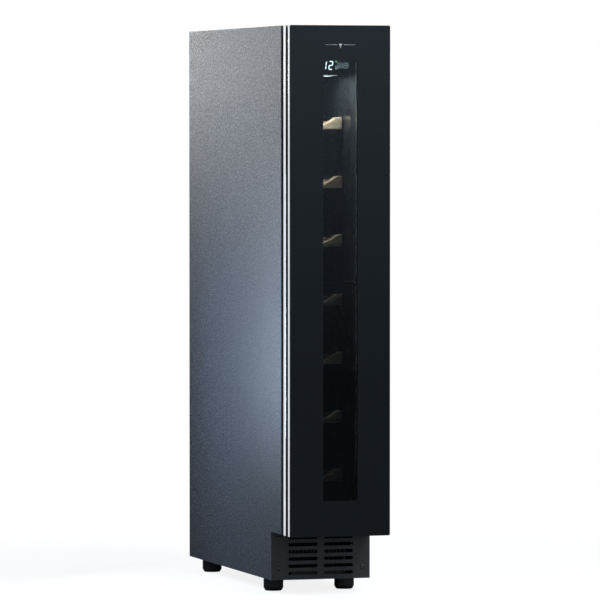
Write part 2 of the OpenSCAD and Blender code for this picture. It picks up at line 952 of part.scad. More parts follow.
// Bushes that the hinge pins turn in
module hinge_bushes() {
    color("white")
        difference() {
            for (z = [door_bottom + pocket_depth, height - pocket_depth - 16])
                translate([hinge_x, hinge_y, z])
                    cylinder(d = bush_d, h = 16);
            translate([hinge_x, hinge_y, door_bottom])
                cylinder(d = pin_d + pin_play, h = arm_gap + arm_t + pin_len + 1);
            translate([hinge_x, hinge_y, height - arm_gap - arm_t - pin_len - 1])
                cylinder(d = pin_d + pin_play, h = arm_gap + arm_t + pin_len + 1);
        }
}

// The cradle that a bottle lies in
module cradle(z) {
    rod_y(0, [shelf_front_y[0] - cut, deck_back_y + cut], z + cradle_r - cradle_depth,
        2 * cradle_r);
}

module shelf_front(n) {
    z = shelf_z(n);
    color("burlywood")
        difference() {
            block([-shelf_half, shelf_half], shelf_front_y, [z - front_h, z]);
            cradle(z);
        }
}

// Slatted deck behind the shelf's front
module shelf_deck(n) {
    z = shelf_z(n);
    run = deck_back_y - shelf_front_y[1] - slat_w;
    color("burlywood")
        difference() {
            union() {
                both_sides()
                    block([shelf_half - deck_rail_w, shelf_half], [shelf_front_y[1], deck_back_y],
                        [z - deck_bottom, z - deck_top]);
                for (i = [1 : slat_count]) {
                    y = shelf_front_y[1] + i * run / slat_count;
                    block([-shelf_half + deck_rail_w, shelf_half - deck_rail_w], [y, y + slat_w],
                        [z - front_h, z - slat_top]);
                }
            }
            cradle(z);
        }
}

// Levelling foot: ribbed pad and threaded stud
module foot(x, y) {
    pad_d = 28.6;
    pad_h = foot_h - slip;
    color("black")
        translate([x, y, 0]) {
            cylinder(d1 = pad_d - 5, d2 = pad_d - 1.6, h = 3);
            translate([0, 0, 3])
                cylinder(d = pad_d - 1.6, h = pad_h - 3);
            for (i = [0 : 17])
                rotate([0, 0, i * 20])
                    translate([pad_d / 2 - 1.2, 0, 3])
                        cylinder(d = 2.4, h = pad_h - 4, $fn = 16);
            cylinder(d = stud_d, h = stud_top);
        }
}

left_side_panel();
right_side_panel();
top_panel();
rear_panel();
compressor_cover();
base_pan();
machine_room_ceiling();
throat_collar();
inner_liner();
foam_insulation();
kick_grille();
case_screws();
control_housing();
display_lens();
control_board();
lamp_diffuser();
evaporator_cover();
evaporator_coil();
circulation_fan_frame();
circulation_fan_rotor();
condenser_fan_frame();
condenser_fan_rotor();
condenser_coil();
compressor();
compressor_grommets();
refrigerant_lines();
starter_box();
power_inlet();
drip_tray();
upper_hinge_bracket();
lower_hinge_bracket();
display_ledge();
shelf_guides();
outer_glass();
glass_spacer();
inner_glass();
front_trim();
door_core();
rear_trim();
door_inner_frame();
door_gasket();
hinge_bushes();
shelf_front(1);  // shelf_front_1
shelf_front(2);  // shelf_front_2
shelf_front(3);  // shelf_front_3
shelf_front(4);  // shelf_front_4
shelf_front(5);  // shelf_front_5
shelf_front(6);  // shelf_front_6
shelf_front(7);  // shelf_front_7
shelf_deck(1);  // shelf_deck_1
shelf_deck(2);  // shelf_deck_2
shelf_deck(3);  // shelf_deck_3
shelf_deck(4);  // shelf_deck_4
shelf_deck(5);  // shelf_deck_5
shelf_deck(6);  // shelf_deck_6
shelf_deck(7);  // shelf_deck_7
foot(-foot_x, foot_y[0]);  // foot_front_left
foot(foot_x, foot_y[0]);  // foot_front_right
foot(-foot_x, foot_y[1]);  // foot_rear_left
foot(foot_x, foot_y[1]);  // foot_rear_right
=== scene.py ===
"""Slim wine cooler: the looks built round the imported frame, in metres.

X runs to the right of someone facing the door, Y from the door to the back, Z is up.
"""
import json
import math

import bmesh
import bpy
from mathutils import Matrix, Vector

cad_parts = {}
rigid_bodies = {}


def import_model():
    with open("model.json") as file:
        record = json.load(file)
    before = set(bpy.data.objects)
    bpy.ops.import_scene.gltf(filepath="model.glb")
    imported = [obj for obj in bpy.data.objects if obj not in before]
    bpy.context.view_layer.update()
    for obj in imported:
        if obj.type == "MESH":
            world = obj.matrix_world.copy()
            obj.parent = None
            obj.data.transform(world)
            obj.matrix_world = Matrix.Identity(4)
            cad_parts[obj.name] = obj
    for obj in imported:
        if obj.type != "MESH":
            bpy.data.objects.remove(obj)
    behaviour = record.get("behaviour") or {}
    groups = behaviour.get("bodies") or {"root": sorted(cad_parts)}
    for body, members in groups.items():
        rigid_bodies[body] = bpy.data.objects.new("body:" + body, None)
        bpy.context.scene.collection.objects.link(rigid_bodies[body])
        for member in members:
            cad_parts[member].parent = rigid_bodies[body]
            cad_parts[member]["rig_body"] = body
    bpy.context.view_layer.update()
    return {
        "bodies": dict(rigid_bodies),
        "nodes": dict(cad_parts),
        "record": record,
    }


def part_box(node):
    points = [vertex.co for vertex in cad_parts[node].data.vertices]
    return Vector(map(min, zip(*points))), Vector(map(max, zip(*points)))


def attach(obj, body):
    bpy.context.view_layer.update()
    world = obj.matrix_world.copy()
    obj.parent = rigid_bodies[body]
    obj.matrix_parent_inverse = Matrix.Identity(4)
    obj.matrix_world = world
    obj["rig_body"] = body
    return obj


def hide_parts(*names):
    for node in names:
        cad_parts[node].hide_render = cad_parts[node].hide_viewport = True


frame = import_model()

MM = 0.001
NODES = frame["nodes"]
SLOT_OF = {part["node"]: part["material_slot"] for part in frame["record"]["subparts"]}
SHELVES = range(1, 8)

# ---------------------------------------------------------------- camera

# The view: where it looks, from which side, and how long the lens is
CAMERA_TARGET = Vector((-0.0597, -0.2625, 0.4237))
CAMERA_AZIMUTH = math.radians(-16.97)
CAMERA_ELEVATION = math.radians(1.95)
CAMERA_DISTANCE = 7.08
CAMERA_LENS = 301.3
SENSOR_WIDTH = 36


def direction(azimuth, elevation):
    """Unit vector from the object towards a viewer; azimuth 0 is in front of the door."""
    return Vector((
        math.sin(azimuth) * math.cos(elevation),
        -math.cos(azimuth) * math.cos(elevation),
        math.sin(elevation),
    ))


def link(thing):
    bpy.context.scene.collection.objects.link(thing)
    return thing


def make_camera():
    lens = bpy.data.cameras.new("camera")
    lens.sensor_width = SENSOR_WIDTH
    lens.lens = CAMERA_LENS
    lens.clip_end = 100
    camera = link(bpy.data.objects.new("camera", lens))
    back = direction(CAMERA_AZIMUTH, CAMERA_ELEVATION)
    camera.location = CAMERA_TARGET + CAMERA_DISTANCE * back
    camera.rotation_euler = (-back).to_track_quat("-Z", "Y").to_euler()
    bpy.context.scene.camera = camera


make_camera()
bpy.context.scene.view_settings.view_transform = "Standard"

# ---------------------------------------------------------------- materials


class Finish:
    """A Principled material with short ways to add procedural detail."""

    def __init__(self, name, colour, roughness, constants=None):
        self.material = bpy.data.materials.new(name)
        self.material.use_nodes = True
        self.tree = self.material.node_tree
        self.shader = self.tree.nodes["Principled BSDF"]
        self.colour = colour
        self.feed(self.shader.inputs["Base Color"], (*colour, 1))
        self.feed(self.shader.inputs["Roughness"], roughness)
        for socket, value in (constants or {}).items():
            self.feed(self.shader.inputs[socket], value)

    def feed(self, socket, value):
        if isinstance(value, bpy.types.NodeSocket):
            self.tree.links.new(value, socket)
        else:
            socket.default_value = value

    def node(self, kind, inputs, **settings):
        made = self.tree.nodes.new("ShaderNode" + kind)
        for key, value in settings.items():
            setattr(made, key, value)
        for key, value in inputs.items():
            self.feed(made.inputs[key], value)
        return made

    def place(self, stretch=(1, 1, 1)):
        """Object coordinates, squeezed by stretch along each axis."""
        coordinates = self.node("TexCoord", {}).outputs["Object"]
        return self.node("Mapping", {"Vector": coordinates, "Scale": stretch}).outputs[0]

    def noise(self, size, stretch=(1, 1, 1), detail=2.0, distortion=0.0):
        """Soft random blotches about size metres across."""
        return self.node("TexNoise", {
            "Vector": self.place(stretch), "Scale": 1 / size, "Detail": detail,
            "Distortion": distortion,
        }).outputs["Fac"]

    def cells(self, size, stretch=(1, 1, 1)):
        """Distance to the middle of random cells about size metres across."""
        return self.node("TexVoronoi", {
            "Vector": self.place(stretch), "Scale": 1 / size,
        }, feature="F1").outputs["Distance"]

    def sum(self, first, second, operation="ADD"):
        """Adds two values, or joins them by another operation of the Math node."""
        made = self.node("Math", {0: first, 1: second}, operation=operation)
        return made.outputs[0]

    def range(self, value, low, high, start=0.0, end=1.0):
        """Carries value from start..end over to low..high."""
        return self.node("MapRange", {
            "Value": value, "From Min": start, "From Max": end, "To Min": low, "To Max": high,
        }).outputs[0]

    def blend(self, factor, first, second):
        made = self.node("Mix", {0: factor, 6: first, 7: second}, data_type="RGBA")
        return made.outputs[2]

    def shades(self, factor, dark, light, start=0.3, end=0.7):
        """The base colour between two strengths of itself."""
        first = (*[dark * c for c in self.colour], 1)
        second = (*[min(1, light * c) for c in self.colour], 1)
        self.feed(self.shader.inputs["Base Color"],
                  self.blend(self.range(factor, 0, 1, start, end), first, second))

    def rough(self, factor, low, high, start=0.3, end=0.7):
        self.feed(self.shader.inputs["Roughness"], self.range(factor, low, high, start, end))

    def bump(self, height, distance):
        made = self.node("Bump", {"Height": height, "Distance": distance, "Strength": 1.0})
        self.feed(self.shader.inputs["Normal"], made.outputs[0])


def powder_coat(name, colour, roughness, grain, relief, stretch=(1, 1, 1)):
    """Textured stove enamel on sheet steel."""
    finish = Finish(name, colour, roughness, {"Specular IOR Level": 0.5})
    fine = finish.noise(grain, stretch, detail=3)
    broad = finish.noise(2.3 * grain, stretch, detail=1)
    mixed = finish.sum(finish.sum(fine, 0.65, "MULTIPLY"), finish.sum(broad, 0.35, "MULTIPLY"))
    finish.shades(mixed, 0.4, 2.0, 0.38, 0.62)
    finish.rough(mixed, roughness + 0.1, roughness - 0.08, 0.35, 0.65)
    finish.bump(mixed, relief)
    return finish.material


def moulded(name, colour, roughness, grain=0.0005, relief=0.00002, coat=0.0, shine=0.5):
    """Injection-moulded plastic with a fine spark-eroded grain."""
    finish = Finish(name, colour, roughness, {
        "Coat Weight": coat, "Coat Roughness": 0.08, "Specular IOR Level": shine,
    })
    fine = finish.noise(grain, detail=2)
    sink = finish.noise(0.03, detail=1)
    finish.shades(sink, 0.88, 1.14)
    finish.rough(fine, roughness - 0.05, roughness + 0.07)
    finish.bump(finish.sum(fine, finish.sum(sink, 2.0, "MULTIPLY")), relief)
    return finish.material


def metal(name, colour, roughness, streak=(1, 1, 1), spread=0.05):
    """Bare metal with drawing marks along the direction that streak squeezes."""
    finish = Finish(name, colour, roughness, {"Metallic": 1.0})
    lines = finish.noise(0.0006, streak, detail=3)
    stain = finish.noise(0.04, detail=2)
    finish.shades(stain, 0.94, 1.05)
    finish.rough(lines, roughness, roughness + spread)
    finish.bump(lines, 0.000004)
    return finish.material


def beech(name, colour, along):
    """Oiled beech: soft growth bands and short dark rays along the grain axis."""
    finish = Finish(name, colour, 0.5, {"Coat Weight": 0.1, "Coat Roughness": 0.35})
    band_stretch = [1.0, 1.0, 1.0]
    band_stretch[along] = 0.08
    ray_stretch = [1.0, 1.0, 1.0]
    ray_stretch[along] = 0.16
    bands = finish.noise(0.006, band_stretch, detail=4, distortion=0.6)
    fibre = finish.noise(0.0007, ray_stretch, detail=2)
    rays = finish.cells(0.0016, ray_stretch)
    pale = (*[min(1, 1.16 * c) for c in colour], 1)
    deep = (0.72 * colour[0], 0.62 * colour[1], 0.52 * colour[2], 1)
    ring = finish.blend(finish.range(bands, 0, 1, 0.36, 0.66), pale, deep)
    fleck = (0.42 * colour[0], 0.34 * colour[1], 0.27 * colour[2], 1)
    mask = finish.range(rays, 0.6, 0.0, 0.0, 0.34)
    flecked = finish.blend(mask, ring, fleck)
    finish.feed(finish.shader.inputs["Base Color"], flecked)
    finish.rough(fibre, 0.42, 0.62)
    finish.bump(finish.sum(fibre, finish.sum(mask, -0.7, "MULTIPLY")), 0.00004)
    return finish.material


def glass(name, colour):
    """Clear or tinted float glass with the faintest haze."""
    finish = Finish(name, colour, 0.0, {"Transmission Weight": 1.0, "IOR": 1.5})
    haze = finish.noise(0.05, detail=3)
    finish.shades(haze, 0.97, 1.03)
    finish.rough(haze, 0.0, 0.012)
    return finish.material


def printed_glass(name, colour):
    """The black ceramic print seen through the polished face of the pane."""
    finish = Finish(name, colour, 0.03, {"IOR": 1.5})
    flow = finish.noise(0.09, detail=1)
    pinholes = finish.noise(0.0004, detail=2)
    finish.shades(pinholes, 0.94, 1.06)
    finish.rough(flow, 0.02, 0.045)
    finish.bump(flow, 0.00002)
    return finish.material


def glow(name, colour, strength):
    """A lit surface with slight unevenness."""
    finish = Finish(name, colour, 0.4, {"Emission Strength": strength})
    uneven = finish.range(finish.noise(0.002, detail=1), 0, 1, 0.3, 0.7)
    dim = (*[0.86 * c for c in colour], 1)
    finish.feed(finish.shader.inputs["Emission Color"], finish.blend(uneven, dim, (*colour, 1)))
    return finish.material


def rubber(name, colour, roughness):
    finish = Finish(name, colour, roughness, {"Sheen Weight": 0.15, "Sheen Roughness": 0.4})
    bloom = finish.noise(0.012, detail=4)
    finish.shades(bloom, 0.8, 1.3)
    finish.rough(bloom, roughness - 0.08, roughness + 0.06)
    finish.bump(finish.noise(0.0008, detail=2), 0.00003)
    return finish.material


def foam(name, colour):
    finish = Finish(name, colour, 0.9, {"Subsurface Weight": 0.1})
    bubble_depth_and_shade = finish.cells(0.003)
    # Painted shade: the colour darkens towards the middle of each bubble, where the bump sinks its
    # hollow
    finish.shades(bubble_depth_and_shade, 0.75, 1.05, 0.0, 0.6)
    finish.bump(bubble_depth_and_shade, 0.0006)
    return finish.material


def circuit(name, colour):
    """Green solder mask over copper tracks."""
    finish = Finish(name, colour, 0.35, {"Coat Weight": 0.3})
    tracks = finish.node("TexBrick", {
        "Vector": finish.place(), "Scale": 120.0, "Mortar Size": 0.06,
    }).outputs["Fac"]
    finish.shades(tracks, 1.0, 1.9, 0.0, 1.0)
    finish.bump(tracks, 0.00003)
    return finish.material


STREAK_Z = (1, 1, 0.01)
STREAK_X = (0.01, 1, 1)

MATERIALS = {
    "cabinet_paint": powder_coat("cabinet_paint", (0.042, 0.050, 0.064), 0.46, 0.0012, 0.0007,
                                 (1, 0.6, 1)),
    "back_paint": powder_coat("back_paint", (0.028, 0.030, 0.033), 0.6, 0.001, 0.00008),
    "coil_black": powder_coat("coil_black", (0.012, 0.012, 0.013), 0.5, 0.0008, 0.00004),
    "black_plastic": moulded("black_plastic", (0.010, 0.011, 0.012), 0.42),
    "liner_plastic": moulded("liner_plastic", (0.007, 0.0075, 0.008), 0.24, 0.004, 0.00003,
                             shine=0.25),
    "insulation_foam": foam("insulation_foam", (0.80, 0.70, 0.42)),
    "grille_plastic": moulded("grille_plastic", (0.036, 0.037, 0.038), 0.38, 0.0007),
    "screw_steel": metal("screw_steel", (0.085, 0.085, 0.09), 0.3),
    "display_plastic": moulded("display_plastic", (0.004, 0.005, 0.006), 0.1, 0.02, 0.00001, 0.6),
    "circuit_board": circuit("circuit_board", (0.015, 0.14, 0.05)),
    "lamp_plastic": glow("lamp_plastic", (0.93, 0.96, 1.0), 0.9),
    "coil_aluminium": metal("coil_aluminium", (0.74, 0.75, 0.76), 0.34),
    "fan_plastic": moulded("fan_plastic", (0.016, 0.016, 0.017), 0.38),
    "compressor_black": moulded("compressor_black", (0.010, 0.010, 0.010), 0.28, 0.0015,
                                0.00005, 0.4),
    "black_rubber": rubber("black_rubber", (0.020, 0.020, 0.020), 0.75),
    "copper": metal("copper", (0.72, 0.36, 0.22), 0.26),
    "hinge_steel": metal("hinge_steel", (0.42, 0.43, 0.44), 0.32, STREAK_X),
    "dark_glass": printed_glass("dark_glass", (0.0122, 0.0150, 0.0172)),
    "spacer_aluminium": metal("spacer_aluminium", (0.70, 0.71, 0.72), 0.35, STREAK_Z),
    "clear_glass": glass("clear_glass", (0.86, 0.93, 0.90)),
    "trim_aluminium": metal("trim_aluminium", (0.80, 0.81, 0.82), 0.07, STREAK_Z, spread=0.03),
    "door_plastic": moulded("door_plastic", (0.010, 0.010, 0.011), 0.45),
    "gasket_rubber": rubber("gasket_rubber", (0.022, 0.023, 0.024), 0.62),
    "bush_plastic": moulded("bush_plastic", (0.80, 0.80, 0.77), 0.45),
    "beech_front": beech("beech_front", (0.64, 0.485, 0.335), 0),
    "beech_deck": beech("beech_deck", (0.62, 0.465, 0.315), 1),
    "foot_plastic": moulded("foot_plastic", (0.008, 0.008, 0.009), 0.5, 0.0008),
}
COLLAR_BLACK = moulded("collar_black", (0.004, 0.004, 0.005), 0.8, 0.0008, 0.00004, shine=0.1)
WINDOW_GLASS = glass("window_glass", (0.34, 0.37, 0.39))
GROUND_GLASS = moulded("ground_glass", (0.005, 0.006, 0.007), 0.7, 0.0003, 0.00001, shine=0.2)
DIGIT_GLOW = glow("digit_glow", (0.85, 0.93, 1.0), 6.0)
ICON_GLOW = glow("icon_glow", (0.62, 0.72, 0.80), 2.4)
GREEN_GLOW = glow("green_glow", (0.45, 1.0, 0.30), 5.0)
SILVER_PRINT = metal("silver_print", (0.72, 0.74, 0.76), 0.3)

for node_name, node_object in NODES.items():
    node_object.data.materials.clear()
    node_object.data.materials.append(MATERIALS[SLOT_OF[node_name]])

# ---------------------------------------------------------------- mesh tools

SMOOTH_BELOW = math.radians(38)
SHARP_ABOVE = math.radians(30)
FLAT_BELOW = math.radians(0.5)
WELD = 1e-6
CORNER_STEPS = 6


def add(name, bm, body, slot, material=None, replaces=()):
    """Turns a bmesh into a piece that rides on a body, with soft shading up to SMOOTH_BELOW.

    Edges without faces are dropped first.
    """
    loose = [edge for edge in bm.edges if not edge.link_faces]
    bmesh.ops.delete(bm, geom=loose, context="EDGES")
    bmesh.ops.recalc_face_normals(bm, faces=bm.faces)
    for face in bm.faces:
        face.smooth = True
    for edge in bm.edges:
        edge.smooth = len(edge.link_faces) == 2 and edge.calc_face_angle(0) < SMOOTH_BELOW
    mesh = bpy.data.meshes.new(name)
    bm.to_mesh(mesh)
    bm.free()
    made = link(bpy.data.objects.new(name, mesh))
    for one in material if isinstance(material, list) else [material or MATERIALS[slot]]:
        mesh.materials.append(one)
    made.modifiers.new("weighted_normals", "WEIGHTED_NORMAL").keep_sharp = True
    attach(made, body)
    if replaces:
        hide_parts(*replaces)
    return made


def ease(bm, width, segments, chosen=None):
    """Rounds the sharp edges, or only those for which chosen(edge) holds."""
    sharp = [
        edge for edge in bm.edges
        if len(edge.link_faces) == 2 and edge.calc_face_angle(0) > SHARP_ABOVE
        and (chosen is None or chosen(edge))
    ]
    bmesh.ops.bevel(bm, geom=sharp, offset=width, offset_type="OFFSET", segments=segments,
                    profile=0.5, affect="EDGES", clamp_overlap=True)


def clean_copy(node):
    """A bmesh of a CAD node with its flat faces joined up."""
    bm = bmesh.new()
    bm.from_mesh(NODES[node].data)
    bmesh.ops.remove_doubles(bm, verts=bm.verts, dist=WELD)
    bmesh.ops.dissolve_limit(bm, angle_limit=FLAT_BELOW, verts=bm.verts, edges=bm.edges)
    return bm


def eased(node, width, rounds=(), pierced=False, material=None):
    """Stands for a CAD node: the same shape with eased edges. rounds are (width, segments, test).

    pierced cuts the joined faces in triangles first, for faces with an opening through them.
    """
    bm = clean_copy(node)
    if pierced:
        bmesh.ops.triangulate(bm, faces=bm.faces)
    for round_width, segments, test in rounds:
        ease(bm, round_width, segments, test)
    ease(bm, width, 2)
    return add(node + "_finished", bm, NODES[node]["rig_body"], SLOT_OF[node], material, [node])


def loft(bm, loops, closed=False):
    """Joins loops of equally many points with quads; closed also joins the last to the first."""
    rings = [[bm.verts.new(point) for point in loop] for loop in loops]
    pairs = list(zip(rings, rings[1:]))
    if closed:
        pairs.append((rings[-1], rings[0]))
    count = len(rings[0])
    for first, second in pairs:
        for i in range(count):
            j = (i + 1) % count
            bm.faces.new((first[i], first[j], second[j], second[i]))
    return rings


def rounded_loop(half_w, low, high, radius, y):
    """A rounded rectangle in X and Z at depth y."""
    points = []
    for sx, sz, turn in ((1, 1, 0), (-1, 1, 1), (-1, -1, 2), (1, -1, 3)):
        x = sx * (half_w - radius)
        z = (high - radius) if sz > 0 else (low + radius)
        for i in range(CORNER_STEPS + 1):
            angle = (turn + i / CORNER_STEPS) * math.pi / 2
            points.append(Vector((x + radius * math.cos(angle), y, z + radius * math.sin(angle))))
    return points


def prism(bm, outline, start, end, axis):
    """A solid with a flat outline, carried along axis 0, 1 or 2 from start to end."""
    def point(a, b, along):
        return {0: (along, a, b), 1: (a, along, b), 2: (a, b, along)}[axis]

    rings = loft(bm, [[point(a, b, along) for a, b in outline] for along in (start, end)])
    bm.faces.new(rings[0])
    bm.faces.new(rings[1][::-1])


def lathe(bm, profile, centre, count, ripple=None):
    """Turns a profile of (radius, height) about +Z, then closes both ends.

    ripple(radius, height, angle) may change the radius round the turn.
    """
    loops = []
    for radius, height in profile:
        loop = []
        for i in range(count):
            angle = math.tau * i / count
            r = ripple(radius, height, angle) if ripple else radius
            loop.append(Vector((r * math.cos(angle), r * math.sin(angle), height)) + centre)
        loops.append(loop)
    rings = loft(bm, loops)
    bm.faces.new(rings[0])
    bm.faces.new(rings[-1][::-1])


def lay_along_y(verts, centre):
    """Turns vertices about a point so that what ran along +Z runs along +Y."""
    turning = Matrix.Translation(centre) @ Matrix.Rotation(math.radians(-90), 4, "X")
    turning = turning @ Matrix.Translation(-centre)
    for vert in verts:
        vert.co = turning @ vert.co


def islands(node):
    """The corner points of each separate solid in a CAD node."""
    bm = bmesh.new()
    bm.from_mesh(NODES[node].data)
    bmesh.ops.remove_doubles(bm, verts=bm.verts, dist=WELD)
    left = set(bm.verts)
    found = []
    while left:
        todo = [left.pop()]
        solid = []
        while todo:
            vert = todo.pop()
            solid.append(vert.co.copy())
            for edge in vert.link_edges:
                other = edge.other_vert(vert)
                if other in left:
                    left.remove(other)
                    todo.append(other)
        found.append(solid)
    bm.free()
    return sorted(found, key=lambda solid: tuple(round(c, 4) for c in solid_middle(solid)))


def solid_middle(solid):
    """The middle of the box round some points."""
    return [(min(p[i] for p in solid) + max(p[i] for p in solid)) / 2 for i in range(3)]


# Boxes of the CAD parts that other pieces are placed by
GLASS_LOW, GLASS_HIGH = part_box("outer_glass")
SPACER_LOW, SPACER_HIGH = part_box("glass_spacer")
PANEL_LOW, PANEL_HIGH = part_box("left_side_panel")
PANEL_OUTER_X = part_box("right_side_panel")[1].x
LINER_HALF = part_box("inner_liner")[1].x

# ---------------------------------------------------------------- floor, world and lights

FLOOR_RADIUS = 1.6
FLOOR_GREY = 0.32
# What the camera sees is lifted by this much, to meet the white behind
FLOOR_LIFT = 0.86
# The floor starts to fade at the first distance from the middle and is gone at the second
FADE_FROM = 0.3
FADE_TO = 1.1


def make_floor():
    """A pale floor that fades out with distance."""
    bm = bmesh.new()
    bmesh.ops.create_circle(bm, cap_ends=True, segments=96, radius=FLOOR_RADIUS)
    mesh = bpy.data.meshes.new("floor")
    bm.to_mesh(mesh)
    bm.free()
    floor = link(bpy.data.objects.new("floor", mesh))
    material = bpy.data.materials.new("floor")
    material.use_nodes = True
    tree = material.node_tree
    tree.nodes.clear()
    place = tree.nodes.new("ShaderNodeTexCoord")
    length = tree.nodes.new("ShaderNodeVectorMath")
    length.operation = "LENGTH"
    fade = tree.nodes.new("ShaderNodeMapRange")
    fade.interpolation_type = "SMOOTHSTEP"
    fade.inputs["From Min"].default_value = FADE_FROM
    fade.inputs["From Max"].default_value = FADE_TO
    clear = tree.nodes.new("ShaderNodeBsdfTransparent")
    pale = tree.nodes.new("ShaderNodeBsdfDiffuse")
    pale.inputs["Color"].default_value = (FLOOR_GREY, FLOOR_GREY, FLOOR_GREY + 0.01, 1)
    shine = tree.nodes.new("ShaderNodeEmission")
    shine.inputs["Strength"].default_value = FLOOR_LIFT
    seen = tree.nodes.new("ShaderNodeLightPath")
    lit = tree.nodes.new("ShaderNodeAddShader")
    by_ray = tree.nodes.new("ShaderNodeMixShader")
    by_distance = tree.nodes.new("ShaderNodeMixShader")
    output = tree.nodes.new("ShaderNodeOutputMaterial")
    joins = (
        (place.outputs["Object"], length.inputs[0]),
        (length.outputs["Value"], fade.inputs["Value"]),
        (pale.outputs[0], lit.inputs[0]),
        (shine.outputs[0], lit.inputs[1]),
        (seen.outputs["Is Camera Ray"], by_ray.inputs[0]),
        (pale.outputs[0], by_ray.inputs[1]),
        (lit.outputs[0], by_ray.inputs[2]),
        (fade.outputs[0], by_distance.inputs[0]),
        (by_ray.outputs[0], by_distance.inputs[1]),
        (clear.outputs[0], by_distance.inputs[2]),
        (by_distance.outputs[0], output.inputs["Surface"]),
    )
    for start, end in joins:
        tree.links.new(start, end)
    mesh.materials.append(material)


# How bright the world is on the left, against the right, and where it changes over in X
LEFT_SHARE = 0.08
LEFT_UP_TO = -0.1
RIGHT_FROM = 0.2
# The lowest direction that the ramp tells apart, as its Z
RAMP_LOW = -0.4
# Height on the ramp, 0 to 1, and its brightness: dark below, pale above
SKY_STOPS = ((0.0, 0.03), (0.25, 0.05), (0.275, 0.16), (0.3, 0.35), (1.0, 0.5))
SKY_RED = 0.80
SKY_BLUE = 1.22


def make_world():
    """White for the camera; for the rest a soft gradient, bright on the right and dark left."""
    world = bpy.data.worlds.new("world")
    bpy.context.scene.world = world
    world.use_nodes = True
    tree = world.node_tree
    tree.nodes.clear()
    place = tree.nodes.new("ShaderNodeTexCoord")
    split = tree.nodes.new("ShaderNodeSeparateXYZ")
    height = tree.nodes.new("ShaderNodeMapRange")
    height.inputs["From Min"].default_value = RAMP_LOW
    height.inputs["From Max"].default_value = 1.0
    ramp = tree.nodes.new("ShaderNodeValToRGB")
    while len(ramp.color_ramp.elements) < len(SKY_STOPS):
        ramp.color_ramp.elements.new(0.5)
    for element, (position, grey) in zip(ramp.color_ramp.elements, SKY_STOPS):
        element.position = position
        element.color = (SKY_RED * grey, grey, SKY_BLUE * grey, 1)
    side = tree.nodes.new("ShaderNodeMapRange")
    side.interpolation_type = "SMOOTHSTEP"
    side.inputs["From Min"].default_value = LEFT_UP_TO
    side.inputs["From Max"].default_value = RIGHT_FROM
    side.inputs["To Min"].default_value = LEFT_SHARE
    soft = tree.nodes.new("ShaderNodeBackground")
    white = tree.nodes.new("ShaderNodeBackground")
    white.inputs["Color"].default_value = (1, 1, 1, 1)
    seen = tree.nodes.new("ShaderNodeLightPath")
    by_ray = tree.nodes.new("ShaderNodeMixShader")
    output = tree.nodes.new("ShaderNodeOutputWorld")
    joins = (
        (place.outputs["Generated"], split.inputs[0]),
        (split.outputs["Z"], height.inputs["Value"]),
        (height.outputs[0], ramp.inputs["Fac"]),
        (ramp.outputs["Color"], soft.inputs["Color"]),
        (split.outputs["X"], side.inputs["Value"]),
        (side.outputs[0], soft.inputs["Strength"]),
        (seen.outputs["Is Camera Ray"], by_ray.inputs[0]),
        (soft.outputs[0], by_ray.inputs[1]),
        (white.outputs[0], by_ray.inputs[2]),
        (by_ray.outputs[0], output.inputs["Surface"]),
    )
    for start, end in joins:
        tree.links.new(start, end)


def area_light(name, place, aim, width, height, power, colour=(1, 1, 1)):
    """A soft box at place that points at aim; power in watts."""
    lamp = bpy.data.lights.new(name, "AREA")
    lamp.shape = "RECTANGLE"
    lamp.size = width
    lamp.size_y = height
    lamp.energy = power
    lamp.color = colour
    made = link(bpy.data.objects.new(name, lamp))
    made.location = place
    made.rotation_euler = (Vector(aim) - Vector(place)).to_track_quat("-Z", "Y").to_euler()
    made.visible_camera = False
    return made


make_floor()
make_world()
COOL_WHITE = (0.95, 0.98, 1.0)
PALE_BLUE = (0.65, 0.8, 1.0)

# High behind on the left: it falls off from the top of the side panel downwards
area_light("side_light", (-0.5, 2.6, 0.9), (-0.07, 0, 0.45), 0.5, 0.35, 10, COOL_WHITE)
# A tall narrow strip far behind on the left, which the polished trims mirror
area_light("strip_light", (-1.75, 5.3, 0.3), (0, -0.2, 0.4), 0.5, 2.2, 3.5, COOL_WHITE)
# Two small ones close to the side panel: they lift its front half
area_light("low_near_light", (-0.35, 0.15, 0.3), (-0.07, -0.15, 0.3), 0.15, 0.2, 1.2, PALE_BLUE)
area_light("high_near_light", (-0.35, 0.15, 0.5), (-0.07, -0.15, 0.5), 0.15, 0.2, 0.6, PALE_BLUE)
# In front: soft light from high on the right, and a lower one on the left
area_light("front_light", (0.5, -1.6, 1.5), (0, -0.2, 0.1), 0.8, 0.6, 16, COOL_WHITE)
area_light("left_front_light", (-0.6, -3.2, 0.5), (0, -0.2, 0.3), 0.8, 0.8, 10)

# ---------------------------------------------------------------- cabinet

SHEET_FOLD = 1.3 * MM
TOP_FOLD = 0.55 * MM
SHEET_EDGE = 0.22 * MM
# Points this close to a plane count as on it
TOUCH = 1e-5


def on_outer_fold(edge):
    """The upright outer corner at the front of a side panel."""
    return all(abs(abs(v.co.x) - PANEL_OUTER_X) < TOUCH and v.co.y < PANEL_LOW.y + TOUCH
               for v in edge.verts)


def on_top_edge(edge):
    """The long outer edge at the top of a side panel."""
    return all(abs(abs(v.co.x) - PANEL_OUTER_X) < TOUCH and v.co.z > PANEL_HIGH.z - TOUCH
               for v in edge.verts)


for side in ("left", "right"):
    eased(side + "_side_panel", SHEET_EDGE,
          [(SHEET_FOLD, 4, on_outer_fold), (TOP_FOLD, 4, on_top_edge)])

LINER_FILLET = 5 * MM
LINER_WALL = 2 * MM
MOUTH_HALF = LINER_HALF - LINER_WALL


def inside_mouth(edge):
    """Inner corners of the compartment: edges that fold inwards."""
    return not edge.is_convex and all(abs(v.co.x) < MOUTH_HALF + 1e-4 for v in edge.verts)


